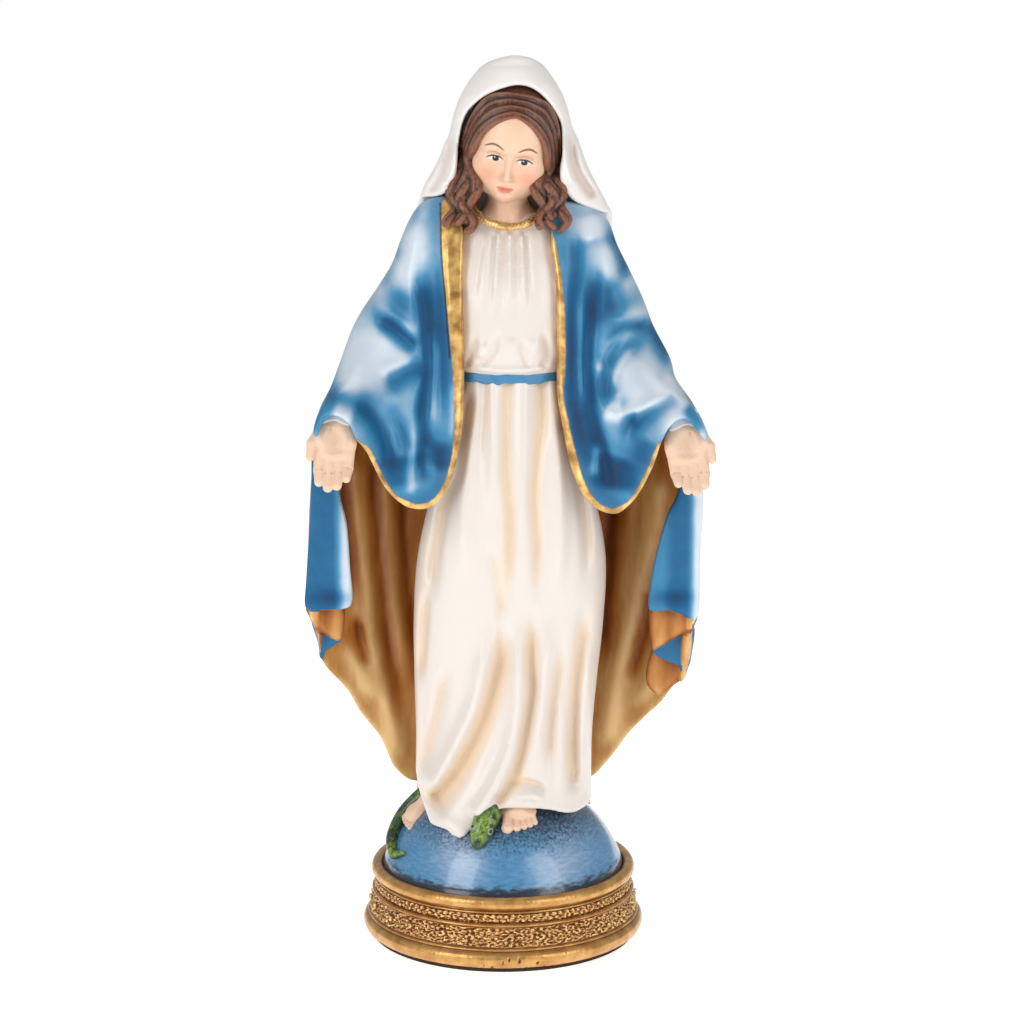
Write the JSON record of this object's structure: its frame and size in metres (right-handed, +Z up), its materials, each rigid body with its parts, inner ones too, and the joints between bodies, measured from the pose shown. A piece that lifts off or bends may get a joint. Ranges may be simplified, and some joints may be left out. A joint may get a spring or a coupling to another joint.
{
  "type": "madonna statue",
  "caption": "Standing devotional figure in a mantle and veil, open hands held low, bare feet on a globe with a serpent, on a round moulded plinth that rests on a shelf.",
  "frame": {"origin": "centre of the plinth on the surface it stands on", "axes": "+Z up, the figure faces -Y, its own right hand is at -X"},
  "size_m": [0.1389, 0.098, 0.305],
  "materials": {
    "felt": "pressed felt, matt",
    "antique_gold": "cast resin in gold paint with a brown antique wash",
    "globe_blue": "cast resin in brushed blue paint with a dark wash, clear varnish",
    "steel_rod": "plain drawn wire",
    "serpent_green": "cast resin in dark and light green paint",
    "skin": "cast resin in pale skin paint with rosy shading",
    "ivory_gown": "cast resin in ivory paint with tan shading in the folds",
    "sash_blue": "blue paint laid on with a brush",
    "trim_gold": "gold paint",
    "hair_brown": "cast resin in dark brown paint with dry-brushed lights",
    "veil_white": "cast resin in off-white paint",
    "mantle_blue": "cast resin in blue paint sprayed to pearl on the ridges, gold hem and lining",
    "cuff_white": "cast resin in white paint"
  },
  "bodies": {
    "root": {"armature_rod": "steel_rod", "felt_pad": "felt", "globe": "globe_blue", "gown": "ivory_gown", "hair": "hair_brown", "head": "skin", "left_cuff": "cuff_white", "left_foot": "skin", "left_hand": "skin", "left_hand_peg": "steel_rod", "left_sleeve": "mantle_blue", "mantle_back": "mantle_blue", "neckline_trim": "trim_gold", "plinth": "antique_gold", "right_cuff": "cuff_white", "right_foot": "skin", "right_hand": "skin", "right_hand_peg": "steel_rod", "right_sleeve": "mantle_blue", "sash": "sash_blue", "serpent": "serpent_green", "veil": "veil_white"}
  },
  "joints": []
}
